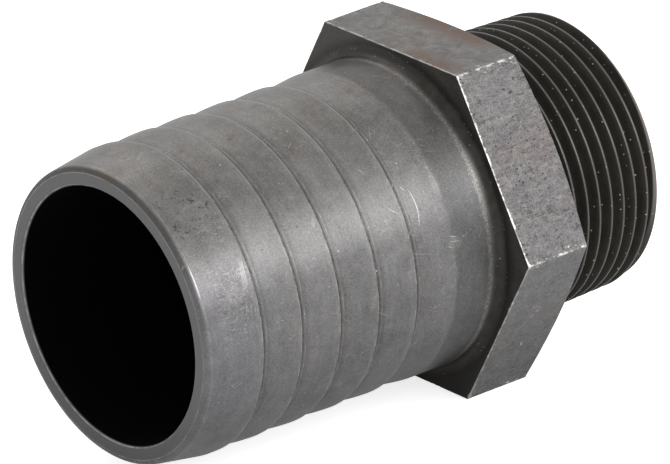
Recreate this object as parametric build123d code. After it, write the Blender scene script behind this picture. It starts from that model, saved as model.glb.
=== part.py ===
from build123d import *
import os
from math import radians, tan

# A hose barb tail: one turned piece of hexagon bar. A hose is pushed over the barbed tail, a spanner
# turns the hexagon, and the tapered pipe thread screws into a pump, a valve or a manifold.
#
# Sizes are in millimetres. The piece lies on one flat of its hexagon, with its axis along X.
# The barbed tail points to -X and the threaded end to +X. Radii are read off one centre line.

# --- the tail that the hose goes over ---------------------------------------------------------------
hose_bore = 38.0             # through the tail and on into the hexagon
mouth_wall = 2.75            # metal round the bore at the very end of the tail
root_wall = 3.2              # metal round the bore at the foot of each barb
barb_height = 0.7            # from the foot of a barb to its edge
barb_bow = 0.75              # share of the barb height that a ramp has gained half way along it
barb_count = 5               # edges, counted with the one that ends the nose
barb_pitch = 7.0             # from one edge to the next
barb_step_run = 0.35         # how far each step leans out of square
nose_length = 9.4            # from the mouth to the first edge
nose_land = 1.7              # straight stretch between the nose taper and the first edge
mouth_outer_round = 0.8      # rounded outer rim of the mouth
mouth_inner_break = 0.3      # broken inner rim of the mouth
plain_land_rise = 0.1        # how much the plain land stands above the barb edges
plain_land_length = 8.6      # from the end of the last ramp to the hexagon
base_fillet = 1.5            # where the plain land runs into the hexagon

# --- the hexagon ------------------------------------------------------------------------------------
hex_flat_stand = 2.0         # how far each flat stands above the plain land, for a 50 mm spanner
hex_thickness = 12.0
hex_chamfer_angle = 15.0     # of the cone that is turned on the thread side, from the face
hex_chamfer_inset = 0.4      # the cone starts this far inside the flats

# --- the threaded end: taper pipe thread R 1 1/4 ----------------------------------------------------
thread_gauge_diameter = 41.91   # over the crests, at the gauge plane
thread_gauge_length = 12.7      # from the gauge plane to the small end
thread_taper = 1.0 / 16.0       # on the diameter
thread_length = 20.0            # from the hexagon to the small end
thread_lead_chamfer = 0.5       # on the small end
thread_bore = 32.0              # narrower, to leave metal under the thread
bore_shoulder_angle = 30.0      # between the two bores, from the axis
bore_shoulder_start = 3.0       # how far past the hexagon's hose side the wide bore runs
thread_bore_break = 0.5         # broken rim of the narrow bore

# --- for the shapes that only cut -------------------------------------------------------------------
overrun = 1.0                   # how far a cutter runs out past the metal

# --- places that follow from the sizes above, measured along the axis from the mouth ----------------
mouth_radius = hose_bore / 2 + mouth_wall
root_radius = hose_bore / 2 + root_wall
edge_radius = root_radius + barb_height
land_radius = edge_radius + plain_land_rise
hex_across_flats = 2 * (land_radius + hex_flat_stand)
last_edge = nose_length + (barb_count - 1) * barb_pitch
land_start = last_edge + barb_pitch
hex_start = land_start + plain_land_length
hex_end = hex_start + hex_thickness
overall_length = hex_end + thread_length
thread_end_radius = (thread_gauge_diameter - thread_gauge_length * thread_taper) / 2
thread_foot_radius = thread_end_radius + thread_length * thread_taper / 2


def profile(edges):
    """Turn a closed chain of edges, drawn as (distance along the axis, radius), into a solid of
    revolution about the X axis."""
    return revolve(make_face(Wire(edges)), Axis.X)


def barb(edge_before):
    """One barb after an edge: the step down, then the long ramp that rises, bowed, to the next edge."""
    foot = (edge_before + barb_step_run, root_radius)
    edge_after = (edge_before + barb_pitch, edge_radius)
    half_way = foot[0] + (edge_after[0] - foot[0]) / 2
    bow = (half_way, root_radius + barb_height * barb_bow)
    return [
        Line((edge_before, edge_radius), foot),
        ThreePointArc(foot, bow, edge_after),
    ]


def last_ramp():
    """The step after the last edge, and the straight ramp that rises to the plain land."""
    foot = (last_edge + barb_step_run, root_radius)
    return [
        Line((last_edge, edge_radius), foot),
        Line(foot, (land_start, land_radius)),
    ]


def barbed_tail():
    """The nose, the barbs, the plain land and the fillet at the hexagon, as one solid with no bore."""
    outline = [
        Line((0, 0), (0, mouth_radius)),
        Line((0, mouth_radius), (nose_length - nose_land, edge_radius)),
        Line((nose_length - nose_land, edge_radius), (nose_length, edge_radius)),
    ]
    for place in range(barb_count - 1):
        outline += barb(nose_length + place * barb_pitch)
    outline += last_ramp()
    fillet_start = (hex_start - base_fillet, land_radius)
    fillet_end = (hex_start, land_radius + base_fillet)
    outline += [
        Line((land_start, land_radius), fillet_start),
        RadiusArc(fillet_start, fillet_end, -base_fillet),
        Line(fillet_end, (hex_start, 0)),
        Line((hex_start, 0), (0, 0)),
    ]
    tail = profile(outline)
    rim = tail.edges().filter_by(GeomType.CIRCLE).sort_by(Axis.X)[0]
    return fillet(rim, mouth_outer_round)


def hexagon():
    """The spanner hexagon, with the cone turned on its thread side that leaves a curved edge on each
    flat. Two flats are level, so that it lies on one of them."""
    bar = extrude(
        Plane.YZ.offset(hex_start) * RegularPolygon(hex_across_flats / 2, 6, major_radius=False, rotation=0),
        hex_thickness,
    )
    corner_radius = hex_across_flats        # well outside the corners
    cone_start = hex_across_flats / 2 - hex_chamfer_inset
    drop = (corner_radius - cone_start) * tan(radians(hex_chamfer_angle))
    turned = profile([
        Line((hex_start - overrun, 0), (hex_start - overrun, corner_radius)),
        Line((hex_start - overrun, corner_radius), (hex_end - drop, corner_radius)),
        Line((hex_end - drop, corner_radius), (hex_end, cone_start)),
        Line((hex_end, cone_start), (hex_end, 0)),
        Line((hex_end, 0), (hex_start - overrun, 0)),
    ])
    return bar & turned


def thread_blank():
    """The tapered end at its size over the crests, with the lead chamfer."""
    end = overall_length
    chamfer_start = end - thread_lead_chamfer
    chamfer_radius = thread_end_radius + thread_lead_chamfer * thread_taper / 2
    return profile([
        Line((hex_end, 0), (hex_end, thread_foot_radius)),
        Line((hex_end, thread_foot_radius), (chamfer_start, chamfer_radius)),
        Line((chamfer_start, chamfer_radius), (end, thread_end_radius - thread_lead_chamfer)),
        Line((end, thread_end_radius - thread_lead_chamfer), (end, 0)),
        Line((end, 0), (hex_end, 0)),
    ])


def through_bore():
    """The wide bore of the tail, the shoulder inside the hexagon and the narrow bore of the thread."""
    wide, narrow = hose_bore / 2, thread_bore / 2
    shoulder_start = hex_start + bore_shoulder_start
    shoulder_end = shoulder_start + abs(wide - narrow) / tan(radians(bore_shoulder_angle))
    end = overall_length
    return profile([
        Line((-overrun, 0), (-overrun, wide + mouth_inner_break + overrun)),
        Line((-overrun, wide + mouth_inner_break + overrun), (mouth_inner_break, wide)),
        Line((mouth_inner_break, wide), (shoulder_start, wide)),
        Line((shoulder_start, wide), (shoulder_end, narrow)),
        Line((shoulder_end, narrow), (end - thread_bore_break, narrow)),
        Line((end - thread_bore_break, narrow), (end + overrun, narrow + thread_bore_break + overrun)),
        Line((end + overrun, narrow + thread_bore_break + overrun), (end + overrun, 0)),
        Line((end + overrun, 0), (-overrun, 0)),
    ])


def hose_tail():
    """The whole fitting, centred on its length and standing on the hexagon's lower flat."""
    solid = barbed_tail() + hexagon() + thread_blank() - through_bore()
    return Pos(-overall_length / 2, 0, hex_across_flats / 2) * solid


os.makedirs("parts", exist_ok=True)
export_step(hose_tail(), "parts/hose_tail.step")
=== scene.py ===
import logging
import math
from dataclasses import dataclass
from enum import Enum

import bmesh
import bpy
import numpy as np
from mathutils import Matrix, Vector


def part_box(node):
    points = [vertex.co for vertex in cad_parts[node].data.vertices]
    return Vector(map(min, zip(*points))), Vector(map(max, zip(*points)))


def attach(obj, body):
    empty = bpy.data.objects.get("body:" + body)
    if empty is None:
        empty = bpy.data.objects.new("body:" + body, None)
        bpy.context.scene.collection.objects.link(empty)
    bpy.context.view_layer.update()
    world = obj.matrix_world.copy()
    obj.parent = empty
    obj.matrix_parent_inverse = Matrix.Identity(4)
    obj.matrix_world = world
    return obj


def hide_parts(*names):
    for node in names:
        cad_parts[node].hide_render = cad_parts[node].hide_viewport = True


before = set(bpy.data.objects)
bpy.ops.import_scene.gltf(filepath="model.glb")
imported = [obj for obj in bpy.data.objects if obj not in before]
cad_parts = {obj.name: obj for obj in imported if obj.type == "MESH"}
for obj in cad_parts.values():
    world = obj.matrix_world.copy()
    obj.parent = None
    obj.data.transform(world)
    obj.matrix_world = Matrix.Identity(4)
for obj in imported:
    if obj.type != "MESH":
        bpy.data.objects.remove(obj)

# A hose barb tail: a barbed tail for a hose, a spanner hexagon and a taper pipe thread, turned from
# one bar. Its axis lies along X, the tail to -X. "Along" is measured from the mouth of the tail in
# millimetres, "out" is the distance from the axis in millimetres, and "around" is the angle about
# the axis in degrees, from 0 at -Y over 90 at the top.

MM = 0.001
CAD_NODE = "hose_tail"
PIECE = "hose_tail_body"
BARE = "bare"                # the points' record of how far the coating is worn off
TOP = 90.0                   # where the top lies, in degrees about the axis
SIDE = 60.0                  # one side of the hexagon, in degrees about the axis
MARKING_OUT = 23.0           # radius at which marks are laid out, in millimetres
TINY = 1e-9                  # numbers nearer to each other than this count as equal
log = logging.getLogger("hose_tail")

Triple = tuple[float, float, float]
Rgb = tuple[float, float, float]
Socket = bpy.types.NodeSocket
Number = float | Socket
Colour = Rgb | Socket


class Skin(Enum):
    """The stretches of the skin that are finished differently, in the order of the material slots."""

    TAIL = 0
    MOUTH = 1
    FLATS = 2
    TURNED_FACE = 3
    THREAD = 4
    SMALL_END = 5
    BORE = 6


@dataclass(frozen=True)
class Station:
    """Where the piece lies in the frame.

    Args:
        length: overall length along the axis, in millimetres.
        across_flats: of the hexagon, in millimetres.
    """

    length: float
    across_flats: float

    @classmethod
    def of_node(cls, name: str) -> "Station":
        """Read the place from the box of a CAD node.

        Args:
            name: the CAD node.

        Returns:
            The station of that node.
        """
        low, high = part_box(name)
        return cls(round((high.x - low.x) / MM, 4), round((high.z - low.z) / MM, 4))

    def points(self, along: np.ndarray, out: np.ndarray, around: np.ndarray) -> np.ndarray:
        """Turn places on the skin into points of the frame.

        Args:
            along: distances from the mouth.
            out: distances from the axis.
            around: angles about the axis.

        Returns:
            An array of points in metres, one a row.
        """
        turn = np.radians(around)
        x = (along - self.length / 2) * MM
        y = -out * np.cos(turn) * MM
        z = (out * np.sin(turn) + self.across_flats / 2) * MM
        return np.stack([x, y, z], axis=-1).reshape(-1, 3)


def roughly(around: np.ndarray, along: np.ndarray, seed: int, waves: int = 7,
            finest: float = 90.0) -> np.ndarray:
    """A gentle, repeatable unevenness that closes on itself round the axis.

    Args:
        around: angles about the axis.
        along: distances from the mouth, in the same shape or one that broadcasts.
        seed: which unevenness.
        waves: how many ripples are laid over each other.
        finest: the most ripples in one turn.

    Returns:
        Values from about -1 to 1.
    """
    most_lean = 1.4          # radians a millimetre
    calm = 1.6               # brings the highest peaks down to about 1
    chance = np.random.default_rng(seed)
    total = np.zeros(np.broadcast(around, along).shape)
    for _ in range(waves):
        turns = int(chance.integers(3, int(finest)))
        lean = chance.uniform(-most_lean, most_lean)
        start = chance.uniform(0, 2 * math.pi)
        total = total + np.sin(np.radians(around) * turns + along * lean + start)
    return total / math.sqrt(waves) / calm


@dataclass
class Band:
    """A stretch of the skin: rows of points, each going once round the axis.

    Args:
        skin: how the stretch is finished.
        along: distances from the mouth, one row an outline point and one column an angle.
        out: distances from the axis, in the same shape.
        bare: how far the coating is worn off, 0 to 1, in the same shape.
    """

    skin: Skin
    along: np.ndarray
    out: np.ndarray
    bare: np.ndarray


def turned(skin: Skin, outline: list[Triple], around: np.ndarray) -> Band:
    """A band that is the same all round, as a lathe leaves it.

    Args:
        skin: how it is finished.
        outline: points (along, out, bare).
        around: the angles of the columns.

    Returns:
        The band.
    """
    rows = np.array(outline, float)
    ones = np.ones((1, len(around)))
    return Band(skin, rows[:, 0:1] * ones, rows[:, 1:2] * ones, rows[:, 2:3] * ones)


def eased(corner: tuple[float, float], before: tuple[float, float], after: tuple[float, float],
          reach: float, steps: int = 3) -> list[tuple[float, float]]:
    """Ease one corner of an outline.

    Args:
        corner: the corner.
        before: a point on the outline before it.
        after: a point on the outline after it.
        reach: how far from the corner the easing starts.
        steps: number of short sides.

    Returns:
        The points that stand in for the corner.
    """
    tip, behind, ahead = (np.array(p, float) for p in (corner, before, after))
    start = tip + (behind - tip) / np.linalg.norm(behind - tip) * reach
    end = tip + (ahead - tip) / np.linalg.norm(ahead - tip) * reach
    places = []
    for t in np.linspace(0, 1, steps + 1):
        point = (1 - t) ** 2 * start + 2 * t * (1 - t) * tip + t ** 2 * end
        places.append((float(point[0]), float(point[1])))
    return places


@dataclass
class BarbedTail:
    """The stretch that the hose is pushed over: mouth rim, nose, barbs, plain land and fillet."""

    bore: float = 38.0
    mouth_wall: float = 2.75
    root_wall: float = 3.2
    barb_height: float = 0.7
    barb_count: int = 5
    barb_pitch: float = 7.0
    step_run: float = 0.35
    nose_length: float = 9.4
    nose_land: float = 1.7
    rim_round: float = 0.8
    rim_break: float = 0.3
    land_rise: float = 0.1
    land_length: float = 8.6
    base_fillet: float = 1.5
    edge_ease: float = 0.16
    foot_ease: float = 0.14
    ramp_rows: int = 6
    bow: float = 0.75               # share of its rise that a ramp has gained half way
    straight: float = 0.5           # the same share on a ramp that isn't bowed
    land_corner: float = 0.25       # the last ramp runs into the plain land this softly
    land_corner_drop: float = 0.03
    first_nose_row: float = 0.5     # past the rounded rim
    rim_bare: float = 1.0
    inner_rim_bare: float = 0.4
    nose_land_bare: float = 0.2
    before_edge_bare: float = 0.35
    edge_bare: float = 0.9
    land_corner_bare: float = 0.1
    edge_knocks: float = 0.05
    knock_seed: int = 5

    @property
    def mouth_out(self) -> float:
        """Radius of the tail at its mouth."""
        return self.bore / 2 + self.mouth_wall

    @property
    def root_out(self) -> float:
        """Radius at the foot of a barb."""
        return self.bore / 2 + self.root_wall

    @property
    def edge_out(self) -> float:
        """Radius at the edge of a barb."""
        return self.root_out + self.barb_height

    @property
    def land_out(self) -> float:
        """Radius of the plain land."""
        return self.edge_out + self.land_rise

    @property
    def edges(self) -> list[float]:
        """Places of the barb edges."""
        return [self.nose_length + n * self.barb_pitch for n in range(self.barb_count)]

    @property
    def land_start(self) -> float:
        """Where the last ramp reaches the plain land."""
        return self.edges[-1] + self.barb_pitch

    @property
    def end(self) -> float:
        """Where the tail meets the hexagon."""
        return self.land_start + self.land_length

    @property
    def fillet_start(self) -> float:
        """Where the plain land runs into the fillet."""
        return self.end - self.base_fillet

    @property
    def fillet_out(self) -> float:
        """Radius at which the fillet runs out on the hexagon's face."""
        return self.land_out + self.base_fillet

    @property
    def ring_out(self) -> float:
        """Radius at which the flat ring of the mouth ends and its rounded rim starts."""
        return self.mouth_out - self.rim_round

    def mouth(self, around: np.ndarray) -> Band:
        """The flat ring of the mouth, from the broken rim of the bore outwards.

        Args:
            around: the angles of the columns.

        Returns:
            The band.
        """
        inner = self.bore / 2
        rows = [(self.rim_break, inner, self.inner_rim_bare),
                (self.rim_break / 2, inner + self.rim_break / 2, self.rim_bare)]
        for out in np.linspace(inner + self.rim_break, self.ring_out, 5):
            rows.append((0.0, float(out), 0.0))
        return turned(Skin.MOUTH, rows, around)

    def nose(self, around: np.ndarray) -> Band:
        """The rounded outer rim and the nose taper, up to its edge.

        Args:
            around: the angles of the columns.

        Returns:
            The band.
        """
        slope = (self.edge_out - self.mouth_out) / (self.nose_length - self.nose_land)
        reach = self.rim_round
        rim_end = (reach, self.mouth_out + reach * slope)
        rows = [(a, r, 0.0) for a, r in eased((0.0, self.mouth_out), (0.0, 0.0), rim_end, reach, 6)]
        for along in np.linspace(reach + self.first_nose_row, self.nose_length - self.nose_land, 6):
            rows.append((float(along), self.mouth_out + float(along) * slope, 0.0))
        rows.append((self.nose_length - self.nose_land / 2, self.edge_out, self.nose_land_bare))
        return turned(Skin.TAIL, rows, around)

    def step(self, edge: float) -> list[Triple]:
        """The edge of a barb and the step down to the foot of the next.

        Args:
            edge: where the edge is.

        Returns:
            Outline points (along, out, bare).
        """
        top = (edge, self.edge_out)
        foot = (edge + self.step_run, self.root_out)
        before = (edge - self.barb_pitch / 2, self.edge_out)
        after = (edge + self.barb_pitch / 2, self.root_out + self.barb_height / 2)
        rows = [(edge - 3 * self.edge_ease, self.edge_out, self.before_edge_bare)]
        rows += [(a, r, self.edge_bare) for a, r in eased(top, before, foot, self.edge_ease)]
        rows += [(a, r, 0.0) for a, r in eased(foot, top, after, self.foot_ease)]
        return rows

    def barbs(self, around: np.ndarray) -> Band:
        """Every step and ramp, with small knocks in the edges.

        Args:
            around: the angles of the columns.

        Returns:
            The band.
        """
        rows: list[Triple] = []
        for edge in self.edges:
            rows += self.step(edge)
            last = edge == self.edges[-1]
            rise = self.land_out - self.root_out if last else self.barb_height
            bow = self.straight if last else self.bow
            foot = edge + self.step_run
            run = self.barb_pitch - self.step_run
            for t in np.linspace(0, 1, self.ramp_rows + 2)[1:-1]:
                share = t + 4 * (bow - self.straight) * t * (1 - t)
                rows.append((foot + run * float(t), self.root_out + rise * float(share), 0.0))
        band = turned(Skin.TAIL, rows, around)
        knocks = np.clip(roughly(around[None, :], band.along, self.knock_seed), 0, 1) ** 2
        band.out -= self.edge_knocks * knocks * (band.bare >= self.edge_bare)
        return band

    def land(self, around: np.ndarray) -> Band:
        """The plain land and the fillet at the hexagon.

        Args:
            around: the angles of the columns.

        Returns:
            The band.
        """
        corner, bare = self.land_corner, self.land_corner_bare
        rows = [(self.land_start - corner, self.land_out - self.land_corner_drop, bare)]
        rows += [(self.land_start + corner, self.land_out, bare)]
        start = self.fillet_start
        for along in np.linspace(self.land_start, start, 5)[1:]:
            rows.append((float(along), self.land_out, 0.0))
        for turn in np.linspace(0, math.pi / 2, 7)[1:]:
            along = start + self.base_fillet * math.sin(turn)
            out = self.land_out + self.base_fillet * (1 - math.cos(turn))
            rows.append((along, out, 0.0))
        return turned(Skin.TAIL, rows, around)


@dataclass
class SpannerHexagon:
    """The spanner hexagon with its knocked edges and the cone turned on its thread side.

    The wear of the edge on the hose side is the near edge's, that on the thread side the far edge's.
    """

    start: float
    across_flats: float
    thickness: float = 12.0
    cone_angle: float = 15.0
    cone_inset: float = 0.4
    edge_ease: float = 0.055
    edge_knocks: float = 0.15
    far_ease_share: float = 0.8
    far_knock_share: float = 0.6
    corner_ease: float = 0.2
    corner_knocks: float = 0.45
    corner_follow: float = 0.3      # share of the edge's wear that the ends of a corner take
    corner_ripple: float = 2.2      # how fast a corner's wear changes along it
    face_rim_bare: float = 0.6
    near_edge_bare: float = 1.0
    flat_start_bare: float = 0.5
    corner_bare: float = 0.72
    corner_bare_width: float = 0.7  # degrees
    far_edge_bare: float = 0.25
    far_corner_bare: float = 0.5
    far_corner_width: float = 4.0   # degrees
    seeds: tuple[int, int, int] = (11, 12, 13)      # of the near edge, the far edge, the corners
    knock_waves: int = 9
    knock_finest: float = 170
    face_rows: tuple[float, ...] = (0.0, 0.15, 0.4, 0.7, 0.93, 1.0)
    back_rows: tuple[float, ...] = (0.1, 0.5, 0.97)

    @property
    def end(self) -> float:
        """The thread side of the hexagon."""
        return self.start + self.thickness

    @property
    def half_across(self) -> float:
        """Distance from the axis to a flat."""
        return self.across_flats / 2

    @property
    def cone_out(self) -> float:
        """Radius at which the cone meets the thread-side face."""
        return self.half_across - self.cone_inset

    def flat_out(self, from_top: np.ndarray, ease: np.ndarray) -> np.ndarray:
        """How far the hexagon stands out at each angle.

        Args:
            from_top: angles from the middle of the top flat.
            ease: radius that each corner is worn to, in the same shape.

        Returns:
            Distances from the axis.
        """
        half = SIDE / 2
        off_middle = np.radians((from_top + half) % SIDE - half)
        off_middle = np.where(off_middle == 0, TINY, off_middle)
        off_corner = np.radians(half) - np.abs(off_middle)
        straight = self.half_across / np.cos(off_middle)
        centre = (self.half_across - ease) / math.cos(math.radians(half))
        inside = np.maximum(ease ** 2 - (centre * np.sin(off_corner)) ** 2, 0.0)
        worn = centre * np.cos(off_corner) + np.sqrt(inside)
        touch = np.arctan((self.half_across - ease) * math.tan(math.radians(half)) / self.half_across)
        return np.where(np.abs(off_middle) > touch, worn, straight)

    def at_corner(self, from_top: np.ndarray, width: float) -> np.ndarray:
        """1 at the corners, falling to 0 at that many degrees away."""
        off = SIDE / 2 - np.abs((from_top + SIDE / 2) % SIDE - SIDE / 2)
        return np.clip(1 - off / width, 0, 1)

    def knocks(self, from_top: np.ndarray, seed: int) -> np.ndarray:
        """How deeply an edge is knocked at each angle, 0 to 1."""
        rough = roughly(from_top, np.zeros((1, 1)), seed, self.knock_waves, self.knock_finest)
        return np.clip(rough, 0, 1) ** 2

    def face(self, rim_out: np.ndarray, inner_out: float) -> Band:
        """The turned face on the hose side.

        Args:
            rim_out: where it meets the near edge, at each angle.
            inner_out: where it starts.

        Returns:
            The band.
        """
        shares = np.array(self.face_rows)[:, None]
        out = inner_out + (rim_out - inner_out) * shares
        bare = np.where(shares == shares[-1], self.face_rim_bare, 0.0) * np.ones(rim_out.shape)
        return Band(Skin.TURNED_FACE, np.full(out.shape, self.start), out, bare)

    def near_edge(self, near_out: np.ndarray, ease: np.ndarray) -> Band:
        """The worn edge between the turned face and the flats.

        Args:
            near_out: how far the flats and corners stand out there, at each angle.
            ease: radius that the edge is worn to, at each angle.

        Returns:
            The band.
        """
        turns = np.linspace(0, math.pi / 2, 5)[:, None]
        along = self.start + ease * (1 - np.cos(turns))
        out = near_out - ease * (1 - np.sin(turns))
        return Band(Skin.FLATS, along, out, np.full(out.shape, self.near_edge_bare))

    def flats(self, from_top: np.ndarray, begin: np.ndarray, finish: np.ndarray, ease: np.ndarray) -> Band:
        """The flats, whose corners are worn unevenly along their length.

        Args:
            from_top: angles from the middle of the top flat.
            begin: where the near edge ends, at each angle.
            finish: where the far edge starts, at each angle.
            ease: radius that the near edge is worn to, at each angle.

        Returns:
            The band.
        """
        shares = np.concatenate([[0.012, 0.03], np.linspace(0.08, 0.92, 11), [0.97, 0.99, 1.0]])[:, None]
        along = begin + (finish - begin) * shares
        own_corner = np.round((from_top + SIDE / 2) / SIDE) * SIDE
        wear = np.clip(roughly(own_corner, along * self.corner_ripple, self.seeds[2]), 0, 1)
        middle = np.sin(np.pi * shares) ** 0.5
        ends = self.corner_follow * ease * (1 - middle)
        out = self.flat_out(from_top, self.corner_ease + ends + self.corner_knocks * wear * middle)
        corners = self.corner_bare * self.at_corner(from_top, self.corner_bare_width)
        first_row = np.where(shares == shares[0], self.flat_start_bare, 0.0)
        return Band(Skin.FLATS, along, out, np.maximum(corners, first_row))

    def far_edge(self, from_top: np.ndarray, flat_end: np.ndarray, far: np.ndarray, ease: np.ndarray) -> Band:
        """The worn curved edge that the cone leaves on the flats.

        Args:
            from_top: angles from the middle of the top flat.
            flat_end: how far the flats stand out at their end, at each angle.
            far: where the sharp edge would be, at each angle.
            ease: radius that it is worn to, at each angle.

        Returns:
            The band.
        """
        lean = math.radians(self.cone_angle)
        t = np.linspace(0, 1, 5)[1:, None]
        along = far - ease * (1 - t) ** 2 + ease * math.sin(lean) * t ** 2
        out = flat_end - ease * math.cos(lean) * t ** 2
        corners = self.far_corner_bare * self.at_corner(from_top, self.far_corner_width)
        return Band(Skin.FLATS, along, out, (self.far_edge_bare + corners) * np.ones(t.shape))

    def thread_side(self, far_edge: Band, thread_foot: float) -> list[Band]:
        """The cone and the face behind it.

        Args:
            far_edge: the edge that the cone starts from.
            thread_foot: distance from the axis at which the thread starts.

        Returns:
            The two bands.
        """
        shares = np.linspace(0, 1, 6)[1:, None]
        cone_out = far_edge.out[-1:] + (self.cone_out - far_edge.out[-1:]) * shares
        cone_along = far_edge.along[-1:] + (self.end - far_edge.along[-1:]) * shares
        cone = Band(Skin.TURNED_FACE, cone_along, cone_out, np.zeros(cone_out.shape))
        back_out = self.cone_out + (thread_foot - self.cone_out) * np.array(self.back_rows)[:, None]
        back_out = back_out * np.ones(cone_out[:1].shape)
        back = Band(Skin.TURNED_FACE, np.full(back_out.shape, self.end), back_out, np.zeros(back_out.shape))
        return [cone, back]

    def bands(self, around: np.ndarray, inner_out: float, thread_foot: float) -> list[Band]:
        """The turned face, the flats between their edges, the cone and the thread-side face.

        Args:
            around: the angles of the columns.
            inner_out: distance from the axis at which the turned face starts.
            thread_foot: distance from the axis at which the thread starts.

        Returns:
            The bands in order.
        """
        from_top = (around - TOP)[None, :]
        ease = self.edge_ease + self.edge_knocks * self.knocks(from_top, self.seeds[0])
        far_knocks = self.far_knock_share * self.edge_knocks * self.knocks(from_top, self.seeds[1])
        far_ease = self.far_ease_share * self.edge_ease + far_knocks
        near_out = self.flat_out(from_top, self.corner_ease + self.corner_follow * ease)
        far = self.end - (near_out - self.cone_out) * math.tan(math.radians(self.cone_angle))
        flats = self.flats(from_top, self.start + ease, far - far_ease, ease)
        far_edge = self.far_edge(from_top, flats.out[-1:], far, far_ease)
        near = [self.face(near_out - ease, inner_out), self.near_edge(near_out, ease)]
        return near + [flats, far_edge] + self.thread_side(far_edge, thread_foot)


@dataclass
class PipeThread:
    """The right-hand taper pipe thread R 1 1/4 with its lead chamfer."""

    start: float
    end: float
    pitch: float = 2.309
    gauge_out: float = 20.955
    gauge_length: float = 12.7
    taper: float = 1.0 / 32.0       # on the radius
    depth: float = 1.479
    crest_half: float = 0.11        # half the width of the flat on a crest
    crest_drop: float = 0.06        # from there down to where the flank starts
    flank_start: float = 0.18       # from the crest's middle
    flank_end: float = 0.94
    root_ease: float = 0.1
    root_drop: float = 0.02
    lead_chamfer: float = 0.5
    run_out: float = 3.2            # the groove fades out over this at the hexagon
    crest_place: float = 82.515     # where a crest's middle is at the angle below
    crest_turn: float = 30.0
    bare_reach: float = 0.02        # the rubbed stretch ends this far down the flank
    bare_soft: float = 0.06

    def crest_out(self, along: np.ndarray) -> np.ndarray:
        """Radius over the crests, which shrinks towards the small end."""
        return self.gauge_out - (along - (self.end - self.gauge_length)) * self.taper

    def form(self, offset: np.ndarray) -> np.ndarray:
        """Depth of the thread form below the crest at a distance from the crest's middle.

        Args:
            offset: distances along the axis, up to half a pitch to either side.

        Returns:
            Depths, from 0 on the crest to the full depth in the groove.
        """
        far = np.abs(offset)
        places = [0.0, self.crest_half, self.flank_start, self.flank_end,
                  self.flank_end + self.root_ease, self.pitch / 2]
        deep = [0.0, 0.0, self.crest_drop, self.depth - self.root_ease,
                self.depth - self.root_drop, self.depth]
        return np.interp(far, places, deep)

    def band(self, around: np.ndarray) -> Band:
        """The whole threaded stretch, its rows following the helix.

        Args:
            around: angles of the columns, one whole turn.

        Returns:
            The band, clamped between the hexagon and the small end.
        """
        mid_flank = (self.flank_start + self.flank_end) / 2
        half = [-self.pitch / 2, -self.flank_end - self.root_ease, -self.flank_end, -mid_flank,
                -self.flank_start, -self.crest_half]
        marks = np.array(half + [-m for m in half[:0:-1]])
        # turns to spare at both ends, which the clip below flattens
        turns = range(-1, int((self.end - self.start) / self.pitch) + 3)
        lead = -(around - self.crest_turn) / 360.0 * self.pitch
        first = self.crest_place - math.floor((self.crest_place - self.start) / self.pitch) * self.pitch
        rows_along, rows_out = [], []
        for turn in turns:
            for mark in marks:
                centre = first + (turn - 1) * self.pitch + lead
                along = centre + mark
                if abs(abs(mark) - mid_flank) < TINY:
                    along = self.slide(along, centre, float(np.sign(mark)))
                along = np.clip(along, self.start, self.end)
                rows_along.append(along)
                rows_out.append(self.out(along, centre))
        along, out = np.array(rows_along), np.array(rows_out)
        return Band(Skin.THREAD, along, out, self.crest_wear(along, around))

    def chamfer_out(self, along: np.ndarray) -> np.ndarray:
        """Radius of the lead chamfer's cone."""
        start = self.end - self.lead_chamfer
        return self.crest_out(np.full(along.shape, start)) - (along - start)

    def offset(self, along: np.ndarray, centre: np.ndarray) -> np.ndarray:
        """Distance from the nearest crest's middle."""
        return (along - centre + self.pitch / 2) % self.pitch - self.pitch / 2

    def slide(self, along: np.ndarray, centre: np.ndarray, side: float) -> np.ndarray:
        """Move a row of the flank onto the line where the lead chamfer cuts it, if it is near.

        Args:
            along: the row's places.
            centre: places of the crest's middle.
            side: -1 or 1, which flank of the crest.

        Returns:
            The moved row.
        """
        steep = (self.depth - self.root_ease - self.crest_drop) / (self.flank_end - self.flank_start)
        chamfer_start = self.end - self.lead_chamfer
        # both are straight lines in (along, out): the flank falls by steep a millimetre, and by the
        # taper besides, and the chamfer by one a millimetre
        flank_at_mouth = self.crest_out(np.zeros(along.shape)) - self.crest_drop
        flank_at_mouth = flank_at_mouth + steep * (side * centre + self.flank_start)
        chamfer_at_mouth = self.crest_out(np.full(along.shape, chamfer_start)) + chamfer_start
        meet = (flank_at_mouth - chamfer_at_mouth) / (self.taper + side * steep - 1.0)
        low = centre + side * self.flank_start
        high = centre + side * self.flank_end
        inside = (np.minimum(low, high) < meet) & (meet < np.maximum(low, high))
        return np.where(inside & (meet > chamfer_start), meet, along)

    def out(self, along: np.ndarray, centre: np.ndarray) -> np.ndarray:
        """Radius of the thread, kept under the lead chamfer and with no groove at the hexagon.

        Args:
            along: places on the skin.
            centre: places of the middle of the row's own crest.

        Returns:
            Distances from the axis.
        """
        deep = self.form(self.offset(along, centre))
        fade = np.clip((along - self.start) / self.run_out, 0, 1)
        fade = fade * fade * (3 - 2 * fade)
        thread = self.crest_out(along) - deep * fade
        return np.minimum(thread, self.chamfer_out(along))

    def crest_wear(self, along: np.ndarray, around: np.ndarray) -> np.ndarray:
        """How far the coating is rubbed off: 1 on the crests, 0 in the grooves.

        Args:
            along: places on the skin, one column an angle.
            around: the angles of the columns.

        Returns:
            Values from 0 to 1, in the shape of along.
        """
        lead = -(around - self.crest_turn) / 360.0 * self.pitch
        off = np.abs(self.offset(along, self.crest_place + lead[None, :]))
        return np.clip((self.flank_start + self.bare_reach - off) / self.bare_soft, 0, 1)


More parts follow.
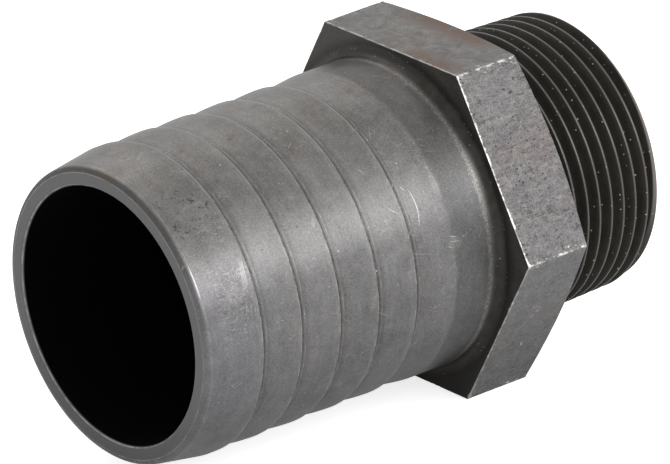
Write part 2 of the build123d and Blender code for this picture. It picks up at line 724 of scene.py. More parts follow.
@dataclass
class ThroughBore:
    """The bore: wide through the tail, a shoulder inside the hexagon, narrow through the thread."""

    end: float
    hexagon_start: float
    wide: float
    wide_break: float
    narrow: float = 16.0
    narrow_break: float = 0.5
    shoulder_past: float = 3.0      # how far past the hexagon's start the wide bore runs
    shoulder_angle: float = 30.0
    first_row: float = 1.0          # from the small end
    last_row: float = 0.02          # from the broken rim at the mouth

    def band(self, around: np.ndarray) -> Band:
        """The inside, from the small end back to the mouth.

        Args:
            around: the angles of the columns.

        Returns:
            The band.
        """
        shoulder = self.hexagon_start + self.shoulder_past
        shoulder_end = shoulder + (self.wide - self.narrow) / math.tan(math.radians(self.shoulder_angle))
        rows = [(self.end - self.narrow_break, self.narrow, 0.0)]
        for along in np.linspace(self.end - self.first_row, shoulder_end, 5):
            rows.append((float(along), self.narrow, 0.0))
        for along in np.linspace(shoulder, self.wide_break + self.last_row, 8):
            rows.append((float(along), self.wide, 0.0))
        return turned(Skin.BORE, rows, around)

    def small_end(self, thread_out: np.ndarray) -> Band:
        """The end face between the thread's notched edge and the broken rim of the bore.

        Args:
            thread_out: distance from the axis of the thread's last row, at each angle.

        Returns:
            The band.
        """
        inner = self.narrow + self.narrow_break
        shares = np.array([0.04, 0.3, 0.65, 1.0])[:, None]
        out = thread_out[None, :] + (inner - thread_out[None, :]) * shares
        return Band(Skin.SMALL_END, np.full(out.shape, self.end), out, np.zeros(out.shape))


class Patina:
    """The nodes of one finish, with short names for the patterns that steel shows."""

    def __init__(self, name: str, station: Station, seed: float, metal: float = 0.6) -> None:
        """Start a material.

        Args:
            name: the finish, in plain words.
            station: where the piece lies.
            seed: moves every pattern, so that two finishes don't repeat each other.
            metal: how metallic the surface is, all over.
        """
        self.material = bpy.data.materials.new(name)
        self.material.use_nodes = True
        self.tree = self.material.node_tree
        self.shader = self.tree.nodes["Principled BSDF"]
        self.shader.inputs["Metallic"].default_value = metal
        self.seed = seed
        self.coat: Colour = (1.0, 1.0, 1.0)
        coordinates = self.tree.nodes.new("ShaderNodeTexCoord")
        shift = (station.length * MM / 2, 0.0, -station.across_flats * MM / 2)
        moved = self.vector("ADD", coordinates.outputs["Object"], shift)
        self.place = self.vector("MULTIPLY", moved, (1 / MM, 1 / MM, 1 / MM))
        parts = self.tree.nodes.new("ShaderNodeSeparateXYZ")
        self.tree.links.new(self.place, parts.inputs[0])
        self.along, side, height = parts.outputs
        self.out = self.reckon("SQRT", self.plus(self.times(side, side), self.times(height, height)))
        self.around = self.reckon("DEGREES", self.reckon("ARCTAN2", height, self.times(side, -1.0)))
        self.rise = self.reckon("DIVIDE", height, self.out)
        bare = self.tree.nodes.new("ShaderNodeAttribute")
        bare.attribute_name = BARE
        self.bare = bare.outputs["Fac"]

    def feed(self, socket: Socket, value: Number | Colour) -> None:
        """Set an input, or link what drives it.

        Args:
            socket: the input.
            value: a number, a colour, a place or an output.
        """
        if isinstance(value, Socket):
            self.tree.links.new(value, socket)
        elif isinstance(value, tuple) and len(socket.default_value) == 4:
            socket.default_value = (*value, 1.0)
        else:
            socket.default_value = value

    def reckon(self, how: str, first: Number, second: Number = 0.0, third: Number = 0.0) -> Socket:
        """One step of arithmetic.

        Args:
            how: the operation.
            first: the first number.
            second: the second number, where the operation takes one.
            third: the third number, where the operation takes one.

        Returns:
            The result.
        """
        node = self.tree.nodes.new("ShaderNodeMath")
        node.operation = how
        for socket, value in zip(node.inputs, (first, second, third)):
            self.feed(socket, value)
        return node.outputs[0]

    def plus(self, first: Number, second: Number) -> Socket:
        """The sum of two numbers."""
        return self.reckon("ADD", first, second)

    def minus(self, first: Number, second: Number) -> Socket:
        """The first number less the second."""
        return self.reckon("SUBTRACT", first, second)

    def vector(self, how: str, first: Colour | Triple, second: Colour | Triple) -> Socket:
        """One step of arithmetic on a place.

        Args:
            how: the operation.
            first: the first place.
            second: the second place.

        Returns:
            The result.
        """
        node = self.tree.nodes.new("ShaderNodeVectorMath")
        node.operation = how
        self.feed(node.inputs[0], first)
        self.feed(node.inputs[1], second)
        return node.outputs[0]

    def times(self, *values: Number) -> Number:
        """The product of several masks, or the one mask itself.

        Args:
            values: the masks.

        Returns:
            The product.
        """
        total = values[0]
        for value in values[1:]:
            total = self.reckon("MULTIPLY", total, value)
        return total

    def most(self, *values: Number) -> Number:
        """The strongest of several masks.

        Args:
            values: the masks.

        Returns:
            The strongest at each place.
        """
        total = values[0]
        for value in values[1:]:
            total = self.reckon("MAXIMUM", total, value)
        return total

    def span(self, value: Number, low: float, high: float, start: float = 0.0, end: float = 1.0) -> Socket:
        """Ease from one number to another while a value goes from low to high.

        Args:
            value: the value that is watched.
            low: where the easing starts; it may be the greater of the two.
            high: where the easing ends.
            start: the result at low and beyond it.
            end: the result at high and beyond it.

        Returns:
            The eased number.
        """
        node = self.tree.nodes.new("ShaderNodeMapRange")
        node.interpolation_type = "SMOOTHSTEP"
        if low > high:
            low, high, start, end = high, low, end, start
        for socket, number in zip(node.inputs, (value, low, high, start, end)):
            self.feed(socket, number)
        return node.outputs[0]

    def within(self, value: Number, low: float, high: float, soft: float) -> Socket:
        """1 between two numbers, falling softly to 0 outside them."""
        rising = self.span(value, low - soft, low + soft)
        return self.times(rising, self.span(value, high + soft, high - soft))

    def uneven(self, start: Number, *layers: tuple[Number, Number]) -> Number:
        """Raise and lower a number by patterns that lie round 0.5.

        Args:
            start: the number.
            layers: pairs of a pattern and its weight.

        Returns:
            The uneven number.
        """
        total = start
        for pattern, weight in layers:
            total = self.reckon("MULTIPLY_ADD", self.minus(pattern, 0.5), weight, total)
        return total

    def mixed(self, share: Number, under: Colour, over: Colour, how: str = "MIX") -> Socket:
        """Lay one colour over another.

        Args:
            share: how much of the upper colour shows.
            under: the lower colour.
            over: the upper colour.
            how: the way of mixing.

        Returns:
            The mixed colour.
        """
        node = self.tree.nodes.new("ShaderNodeMix")
        node.data_type = "RGBA"
        node.blend_type = how
        # the node's sockets for colours come after those for numbers and for places
        self.feed(node.inputs[0], share)
        self.feed(node.inputs[6], under)
        self.feed(node.inputs[7], over)
        return node.outputs[2]

    def grey(self, value: Number) -> Socket:
        """A grey colour.

        Args:
            value: its lightness.

        Returns:
            The colour.
        """
        node = self.tree.nodes.new("ShaderNodeCombineColor")
        for socket in node.inputs[:3]:
            self.feed(socket, value)
        return node.outputs[0]

    def begin(self, colour: Colour, shade: Number) -> None:
        """Start the coat with a colour, lighter or darker by a shade."""
        self.coat = self.mixed(1.0, colour, self.grey(shade), "MULTIPLY")

    def lay(self, colour: Colour, *masks: Number) -> None:
        """Lay a colour on the coat where every mask is strong."""
        self.coat = self.mixed(self.times(*masks), self.coat, colour)

    def tint(self, colour: Colour, *masks: Number) -> None:
        """Multiply the coat by a colour where every mask is strong."""
        self.coat = self.mixed(self.times(*masks), self.coat, colour, "MULTIPLY")

    def moved_place(self, stretch: Triple, shift: float) -> Socket:
        """The place that a pattern is read at.

        Args:
            stretch: how much longer the pattern is along each axis.
            shift: moves the pattern.

        Returns:
            The place.
        """
        squeezed = self.vector("MULTIPLY", self.place, tuple(1.0 / v for v in stretch))
        off = self.seed + shift
        return self.vector("ADD", squeezed, (off, off * 0.7, off * 1.3))

    def grain(self, size: float, detail: float = 2.0, stretch: Triple = (1, 1, 1), rough: float = 0.5,
              curl: float = 0.0, shift: float = 0.0) -> Socket:
        """Cloudy unevenness.

        Args:
            size: of the largest clouds, in millimetres.
            detail: how many finer clouds are laid over them.
            stretch: how much longer the clouds are along each axis.
            rough: weight of the finer clouds.
            curl: how much the clouds swirl.
            shift: moves the pattern.

        Returns:
            A value round 0.5.
        """
        node = self.tree.nodes.new("ShaderNodeTexNoise")
        self.feed(node.inputs["Vector"], self.moved_place(stretch, shift))
        node.inputs["Scale"].default_value = 1.0 / size
        node.inputs["Detail"].default_value = detail
        node.inputs["Roughness"].default_value = rough
        node.inputs["Distortion"].default_value = curl
        return node.outputs["Fac"]

    def specks(self, spacing: float, size: float, share: float, shift: float = 0.0,
               stretch: Triple = (1, 1, 1)) -> Socket:
        """Scattered small spots.

        Args:
            spacing: distance between the places where a spot may be, in millimetres.
            size: radius of the largest spots, in millimetres.
            share: how many of the places have one, 0 to 1.
            shift: moves the pattern.
            stretch: how much longer the spots are along each axis.

        Returns:
            1 in a spot and 0 outside.
        """
        node = self.tree.nodes.new("ShaderNodeTexVoronoi")
        self.feed(node.inputs["Vector"], self.moved_place(stretch, shift))
        node.inputs["Scale"].default_value = 1.0 / spacing
        chance = self.tree.nodes.new("ShaderNodeSeparateColor")
        self.tree.links.new(node.outputs["Color"], chance.inputs[0])
        chosen = self.reckon("LESS_THAN", chance.outputs[0], share)
        reach = size / spacing
        own_reach = self.reckon("MULTIPLY_ADD", chance.outputs[1], 0.6 * reach, 0.4 * reach)
        beyond = self.minus(node.outputs["Distance"], own_reach)
        return self.times(self.span(beyond, 0.3 * reach, -0.3 * reach), chosen)

    def hairs(self, size: float, width: float, share: float, shift: float = 0.0,
              stretch: Triple = (1, 1, 1)) -> Socket:
        """Fine scratches, straighter the more they are stretched.

        Args:
            size: how far apart they lie, in millimetres.
            width: how wide they are, as a share of that.
            share: how much of each one shows, 0 to 1.
            shift: moves the pattern.
            stretch: how much longer they are along each axis.

        Returns:
            1 on a scratch and 0 beside it.
        """
        path = self.grain(size, 0.0, stretch, 0.4, 0.1, shift)
        line = self.span(self.reckon("ABSOLUTE", self.minus(path, 0.5)), width, 0.0)
        kept = self.grain(size * 0.8, 2.0, (1, 1, 1), 0.6, 0.0, shift + 31.0)
        return self.times(line, self.span(kept, 1.0 - share, 1.04 - share))

    def relief(self, *layers: tuple[Number, float]) -> None:
        """Raise and sink the surface.

        Args:
            layers: pairs of a pattern and its height, in millimetres.
        """
        total: Number = 0.0
        for pattern, height in layers:
            total = self.reckon("MULTIPLY_ADD", pattern, height, total)
        bump = self.tree.nodes.new("ShaderNodeBump")
        bump.inputs["Distance"].default_value = MM
        self.tree.links.new(total, bump.inputs["Height"])
        self.tree.links.new(bump.outputs[0], self.shader.inputs["Normal"])

    def dress(self, rough: Number) -> bpy.types.Material:
        """Join the coat and the roughness to the shader.

        Args:
            rough: how rough the surface is, 0 to 1.

        Returns:
            The finished material.
        """
        self.feed(self.shader.inputs["Base Color"], self.coat)
        self.feed(self.shader.inputs["Roughness"], rough)
        return self.material


@dataclass(frozen=True)
class Mark:
    """One scratch or smudge at a place of its own.

    Args:
        along: distance from the mouth of its middle.
        around: angle about the axis of its middle.
        long: half its length, in millimetres.
        wide: half its width, in millimetres.
        turn: angle of its length, in degrees, from the axis' direction.
        strength: how strongly it shows, 0 to 1.
        ragged: how uneven its outline is.
        bend: how far its middle bows sideways, in millimetres.
    """

    along: float
    around: float
    long: float
    wide: float
    turn: float = 0.0
    strength: float = 1.0
    ragged: float = 0.3
    bend: float = 0.0

    def draw(self, p: Patina) -> Socket:
        """Draw the mark on a finish.

        Args:
            p: the finish.

        Returns:
            The mark's strength in its middle and 0 outside.
        """
        blur = p.times(p.minus(p.grain(1.1, 3.0, shift=self.along), 0.5), 2.2 * self.ragged)
        across = p.times(p.minus(p.around, self.around), math.radians(MARKING_OUT))
        ahead = p.minus(p.along, self.along)
        cosine, sine = math.cos(math.radians(self.turn)), math.sin(math.radians(self.turn))
        lengthwise = p.plus(p.times(ahead, cosine), p.times(across, sine))
        sideways = p.minus(p.times(across, cosine), p.times(ahead, sine))
        lengthwise = p.reckon("DIVIDE", lengthwise, self.long)
        if self.bend:
            sideways = p.minus(sideways, p.times(lengthwise, lengthwise, self.bend))
        sideways = p.reckon("DIVIDE", sideways, self.wide)
        far = p.plus(p.times(lengthwise, lengthwise), p.times(sideways, sideways))
        return p.times(p.span(p.plus(far, blur), 1.0, 0.35), self.strength)


def drawn(p: Patina, marks: tuple[Mark, ...]) -> Number:
    """The strongest of several marks at each place."""
    return p.most(*[mark.draw(p) for mark in marks])


class Finish:
    """How a stretch of the skin is finished."""

    def material(self, fitting: "HoseTail") -> bpy.types.Material:
        """Make the finish for a fitting."""
        raise NotImplementedError


@dataclass(frozen=True)
class TailGrain:
    """The patterns that the layers of the tail's finish share.

    Args:
        clouds: light and dark patches, 9 mm across.
        blotches: smaller ones, 2.2 mm across.
        fine: grain.
        lathe: fine rings left by the lathe.
        wear: where rubbed places are rubbed most.
    """

    clouds: Socket
    blotches: Socket
    fine: Socket
    lathe: Socket
    wear: Socket


@dataclass(frozen=True)
class PhosphatedTail(Finish):
    """Grey phosphate coating on the turned tail, rubbed lighter over the barbs."""

    worn: Rgb = (0.196, 0.192, 0.191)
    dark: Rgb = (0.133, 0.131, 0.131)
    bare: Rgb = (0.42, 0.41, 0.40)
    fresh: Rgb = (0.78, 0.77, 0.76)
    # real dirt in pits and flecks, and painted shadow, shade and dark reflection at the steps and the mouth's
    # rim
    dirt_and_painted_shade: Rgb = (0.045, 0.042, 0.038)
    rust: Rgb = (0.13, 0.085, 0.05)
    nick: Rgb = (0.62, 0.61, 0.6)
    # painted highlight before the fillet
    painted_fillet_highlight: Rgb = (0.43, 0.41, 0.37)
    # dark dust with painted shade, in the corner where the tail meets the hexagon
    dust_and_painted_shade: Rgb = (0.03, 0.026, 0.022)
    warm: Rgb = (1.03, 1.0, 0.955)
    cool: Rgb = (0.99, 0.985, 1.03)
    roughness: float = 0.395
    rust_spot: Mark = Mark(19.7, 79.0, 0.5, 0.35, 0.0, 0.7, 0.6)
    bright_marks: tuple[Mark, ...] = (
        Mark(29.4, 0.0, 1.6, 0.5, 70.0, 0.35, 0.8),
        Mark(26.1, -34.0, 0.5, 0.5, 0.0, 0.4, 0.8),
        Mark(8.2, 26.5, 3.0, 0.5, 82.0, 0.7, 0.9),
        Mark(5.6, 20.0, 2.4, 1.6, 30.0, 0.3, 0.9),
        Mark(22.4, 35.0, 0.9, 0.4, 60.0, 0.5, 0.8),
        Mark(44.2, 34.0, 0.5, 2.2, 0.0, 0.3, 0.9),
        Mark(45.0, 11.0, 1.4, 1.2, 0.0, 0.3, 0.9),
    )
    scratches: tuple[Mark, ...] = (
        Mark(40.3, 27.8, 3.0, 0.065, 88.0, 0.6, 0.7, 0.5),
        Mark(39.2, 35.8, 0.5, 0.06, -60.0, 0.6, 0.3),
        Mark(36.0, 29.0, 1.2, 0.055, -43.0, 0.45, 0.4, 0.15),
        Mark(34.0, 46.5, 0.9, 0.05, -63.0, 0.5, 0.3),
        Mark(39.4, 10.8, 2.4, 0.05, -16.0, 0.25, 0.95),
        Mark(44.6, 13.6, 0.9, 0.055, -20.0, 0.5, 0.5),
        Mark(44.9, 11.6, 1.0, 0.055, -12.0, 0.5, 0.6),
        Mark(44.0, 10.0, 0.7, 0.05, -25.0, 0.4, 0.6),
        Mark(31.3, -6.0, 1.9, 0.06, -32.0, 0.25, 0.9),
        Mark(0.8, 29.5, 3.1, 0.11, 90.0, 0.55, 0.8),
        Mark(8.6, 27.0, 2.2, 0.08, 84.0, 0.2, 0.9),
        Mark(26.5, 66.0, 0.9, 0.06, 35.0, 0.35, 0.3),
    )

    def patches(self, p: Patina, tail: BarbedTail, grain: TailGrain) -> None:
        """Start the coat: light over the barbs, dark on the plain land, clouded all over, with painted shade
        towards the lower side and a narrow band along the top a little darker.

        Args:
            p: the finish.
            tail: the tail's sizes.
            grain: the shared patterns.
        """
        ragged = p.times(p.minus(grain.blotches, 0.5), 1.6)
        rubbed = p.span(p.plus(p.along, ragged), tail.land_start + 0.6, tail.land_start - 0.2)
        # painted shade: darker towards the lower side; a narrow band along the top is a little darker
        shade = p.minus(p.span(p.rise, -0.88, 0.04, 0.74, 1.0),
                        p.times(p.within(p.around, 80.0, 98.0, 9.0), 0.1))
        shade = p.uneven(shade, (grain.clouds, 0.75), (grain.blotches, 0.6), (grain.fine, 1.35),
                         (grain.lathe, 0.3))
        p.begin(p.mixed(rubbed, self.dark, self.worn), shade)
        p.tint(self.warm, p.span(p.rise, 0.35, 1.0), 0.9)
        on_nose = p.span(p.along, tail.nose_length + 4.6, tail.nose_length - 2.4)
        p.tint(self.cool, p.span(p.rise, 0.7, 0.35), on_nose)

    def barbs(self, p: Patina, tail: BarbedTail, grain: TailGrain) -> Number:
        """Rub the coat before each edge, wear it off the edge and paint a highlight there that is stronger
        where it faces up, paint shadow and dirt into the step after it and painted shade on the ramp beyond,
        and paint a thin highlight along the foot.

        Args:
            p: the finish.
            tail: the tail's sizes.
            grain: the shared patterns.

        Returns:
            1 on the rims of the edges and 0 elsewhere.
        """
        pitch = tail.barb_pitch
        onto = p.minus(p.along, tail.nose_length)
        phase = p.reckon("MODULO", p.plus(onto, 100 * pitch), pitch)
        on_barbs = p.within(p.along, tail.nose_length - 1.6, tail.edges[-1] + 1.3, 0.05)
        before = p.times(p.span(phase, pitch - 1.3, pitch - 0.1), on_barbs)
        p.lay(self.bare, before, p.span(grain.wear, 0.0, 1.0, 0.05, 0.2))
        above = p.span(p.rise, 0.64, 0.93)
        beneath = p.span(p.rise, 0.1, -0.6)
        # the rims are worn bare, with a painted highlight added where they face up
        rim = p.times(p.most(p.span(phase, pitch - 0.3, pitch - 0.1), p.span(phase, 0.18, 0.08)), on_barbs)
        rim_wear_and_painted_highlight = p.most(p.span(grain.wear, 0.25, 1.0, 0.05, 0.85), p.times(above, 0.75))
        p.lay(self.bare, rim, rim_wear_and_painted_highlight, 0.75)
        run = tail.step_run
        # painted shadow and dirt in the step after each edge, fainter where the step faces up or down
        step = p.times(p.within(phase, run - 0.03, run + 0.39, 0.17), on_barbs,
                       p.span(above, 0.0, 1.0, 1.0, 0.3), p.span(beneath, 0.0, 1.0, 1.0, 0.7))
        gritty = p.span(p.grain(0.5, 3.0, (0.6, 1, 1), 0.7, 0.0, 45.0), 0.3, 0.65, 1.0, 0.5)
        p.lay(self.dirt_and_painted_shade, step, gritty)
        # painted shade on the ramp just after each step
        p.lay(self.dirt_and_painted_shade, p.within(phase, run + 0.35, run + 1.15, 0.5), on_barbs, 0.3)
        # a thin painted highlight along the foot of each step, uneven with wear
        foot = p.times(p.within(phase, run + 0.63, run + 0.73, 0.09), on_barbs)
        p.lay(self.bare, foot, p.span(grain.wear, 0.0, 1.0, 0.15, 0.6))
        return rim

    def mouth_rim(self, p: Patina, tail: BarbedTail, grain: TailGrain) -> None:
        """Paint a dark reflection on the rounded rim of the mouth, strongest towards the top at the back,
        with a thin painted highlight on either side of it, uneven with wear.

        Args:
            p: the finish.
            tail: the tail's sizes.
            grain: the shared patterns.
        """
        # painted dark reflection on the rounded rim, strongest towards the top at the back
        towards_back = p.reckon("COSINE", p.reckon("RADIANS", p.minus(p.around, TOP + 15.0)))
        painted_rim_reflection = p.times(p.span(p.out, tail.ring_out + 0.04, tail.ring_out + 0.2),
                      p.span(p.along, tail.rim_round - 0.05, tail.rim_round - 0.5))
        p.lay(self.dirt_and_painted_shade, painted_rim_reflection, p.span(towards_back, -0.3, 0.75, 0.15, 0.68))
        # thin painted highlights at the edge of the flat ring and just past the rounded rim, uneven with wear
        near_mouth = p.span(p.along, tail.rim_round + 0.5, tail.rim_round + 0.4)
        painted_ledge_highlight = p.times(p.within(p.out, tail.ring_out, tail.ring_out + 0.08, 0.03), near_mouth)
        beyond = p.times(p.within(p.along, tail.rim_round + 0.04, tail.rim_round + 0.16, 0.08), near_mouth)
        p.lay(self.bare, p.most(painted_ledge_highlight, p.times(beyond, 0.6)), p.span(grain.wear, 0.0, 1.0, 0.15, 0.7))

    def fillet(self, p: Patina, tail: BarbedTail, grain: TailGrain) -> None:
        """Paint a soft speckled highlight before the fillet at the hexagon, and dark dust with painted shade
        in the fillet.

        Args:
            p: the finish.
            tail: the tail's sizes.
            grain: the shared patterns.
        """
        # a soft speckled painted highlight on the land before the fillet
        line = p.within(p.along, tail.fillet_start - 0.85, tail.fillet_start - 0.1, 0.35)
        speckled = p.most(p.span(grain.fine, 0.42, 0.6, 0.15, 0.8), p.specks(0.35, 0.09, 0.4, 93.0))
        p.lay(self.painted_fillet_highlight, line, speckled, 0.85)
        # dust and painted shade in the fillet
        in_fillet = p.span(p.along, tail.fillet_start - 0.2, tail.fillet_start + 0.6)
        p.lay(self.dust_and_painted_shade, in_fillet, p.span(grain.blotches, 0.3, 0.7, 1.0, 0.85))

    def flaws(self, p: Patina, tail: BarbedTail, grain: TailGrain) -> list[tuple[Number, float]]:
        """Scatter scratches, nicks, pits and stains, and draw the larger marks.

        Args:
            p: the finish.
            tail: the tail's sizes.
            grain: the shared patterns.

        Returns:
            Pairs of a pattern and its height, in millimetres, for the relief.
        """
        patches = p.span(p.grain(7.0, 2.0, (1, 1, 1), 0.5, 0.0, 55.0), 0.42, 0.62)
        scraped = p.times(p.within(p.along, 3.0, tail.nose_length + 0.1, 1.2),
                          p.within(p.around, 4.0, 34.0, 6.0))
        hair = p.most(p.hairs(1.2, 0.016, 0.5, 61.0, (3, 1, 1)),
                      p.hairs(1.6, 0.010, 0.48, 67.0, (1, 3, 3)))
        hair = p.times(hair, patches, p.span(p.along, tail.fillet_start - 0.5, tail.fillet_start - 1.0))
        network = p.most(p.hairs(0.45, 0.05, 0.55, 63.0, (5, 1, 1)),
                         p.hairs(0.45, 0.05, 0.55, 65.0, (1, 4, 4)))
        p.lay(self.bare, hair, 0.5)
        p.lay(self.bare, network, scraped, 0.55)
        nicks = p.specks(1.5, 0.12, 0.22, 71.0)
        dots = p.specks(0.5, 0.085, 0.22, 73.0)
        pits = p.specks(0.9, 0.11, 0.25, 77.0)
        p.lay(self.nick, nicks, 0.75)
        p.lay(self.bare, dots, p.span(p.along, tail.land_start - 4.4, tail.land_start + 2.6, 0.3, 0.75))
        p.lay(self.dirt_and_painted_shade, pits, 0.5)
        stain = p.span(p.grain(3.4, 3.0, (1, 1, 1), 0.6, 0.5, 83.0), 0.57, 0.72)
        p.lay(self.rust, stain, p.span(p.rise, 0.82, 0.99), 0.35)
        p.lay(self.rust, self.rust_spot.draw(p))
        p.lay(self.bare, drawn(p, self.bright_marks), p.span(grain.fine, 0.3, 0.65, 0.35, 1.0), 0.8)
        p.lay(self.fresh, drawn(p, self.scratches))
        flecked = p.times(p.within(p.along, 1.2, tail.nose_length - 0.8, 1.0),
                          p.within(p.around, 44.0, 66.0, 5.0))
        flecks = p.span(p.grain(0.8, 4.0, (1, 1, 1), 0.7, 0.8, 91.0), 0.56, 0.63)
        p.lay(self.dirt_and_painted_shade, flecks, flecked, 0.75)
        return [(nicks, -0.02), (pits, -0.03), (hair, -0.008)]

    def material(self, fitting: "HoseTail") -> bpy.types.Material:
        """Make the finish for the tail.

        Args:
            fitting: the piece that it covers.

        Returns:
            The material.
        """
        p = Patina("phosphated_tail", fitting.station, seed=3.1)
        tail = fitting.tail
        grain = TailGrain(
            clouds=p.grain(9.0, 3.0, (1, 1, 1), 0.55, 0.3),
            blotches=p.grain(2.2, 3.0, (1, 1, 1), 0.6, 0.4, 7.0),
            fine=p.grain(0.24, 2.0, (1, 1, 1), 0.75, 0.0, 13.0),
            lathe=p.grain(0.5, 2.0, (1, 14, 14), 0.6, 0.0, 21.0),
            wear=p.span(p.grain(1.6, 3.0, (0.4, 1, 1), 0.65, 0.2, 41.0), 0.36, 0.66),
        )
        self.patches(p, tail, grain)
        rim = self.barbs(p, tail, grain)
        self.mouth_rim(p, tail, grain)
        self.fillet(p, tail, grain)
        flaws = self.flaws(p, tail, grain)
        p.relief((grain.fine, 0.014), (grain.lathe, 0.006), *flaws, (grain.clouds, 0.02))
        rough = p.uneven(self.roughness, (grain.blotches, 0.22))
        return p.dress(p.minus(rough, p.times(rim, 0.08)))


@dataclass(frozen=True)
class MouthRing(Finish):
    """The turned end of the tail: an even ring, darker underneath as painted shade, with a painted shadow
    line and a bright rim at the bore.
    """

    ring: Rgb = (0.145, 0.146, 0.149)
    bare: Rgb = (0.5, 0.49, 0.48)
    shadow: Rgb = (0.012, 0.011, 0.01)

    def material(self, fitting: "HoseTail") -> bpy.types.Material:
        """Make the finish for the mouth.

        Args:
            fitting: the piece that it covers.

        Returns:
            The material.
        """
        p = Patina("mouth_ring", fitting.station, seed=9.7)
        inner = fitting.tail.bore / 2
        fine = p.grain(0.3, 2.0, (1, 1, 1), 0.7)
        clouds = p.grain(4.0, 3.0, (1, 1, 1), 0.6, 0.3, 5.0)
        # painted shade on the lower part of the ring
        painted_shade_below = p.span(p.rise, -0.15, -0.9, 1.0, 0.72)
        p.begin(self.ring, p.times(p.uneven(1.0, (fine, 0.35), (clouds, 0.3)), painted_shade_below))
        rim = p.within(p.out, inner + 0.15, inner + 0.27, 0.05)
        wear = p.span(p.grain(1.2, 3.0, (1, 1, 1), 0.6, 0.0, 17.0), 0.35, 0.62, 0.25, 1.0)
        # painted shadow along the bore's edge
        p.lay(self.shadow, p.span(p.out, inner + 0.12, inner + 0.02), 0.85)
        p.lay(self.bare, rim, wear, 0.75)
        nicks = p.specks(1.5, 0.11, 0.1, 23.0)
        p.lay(self.bare, nicks, 0.7)
        p.relief((fine, 0.004), (nicks, -0.02))
        return p.dress(p.span(clouds, 0.3, 0.7, 0.38, 0.5))


@dataclass(frozen=True)
class FlatsGrain:
    """The patterns that the layers of the flats' finish share.

    Args:
        on_top: 1 on the top flat.
        plain: 1 on the top flat and on the lower ones, which are less brushed.
        grainy: 1 on the upper sides, less on the lower flats and least on the top one.
        swirl: curling clouds.
        mottle: small patches.
        streaks: long streaks along the axis.
        fine: grain.
        past: distance from the hexagon's start.
    """

    on_top: Number
    plain: Number
    grainy: Number
    swirl: Socket
    mottle: Socket
    streaks: Socket
    fine: Socket
    past: Number


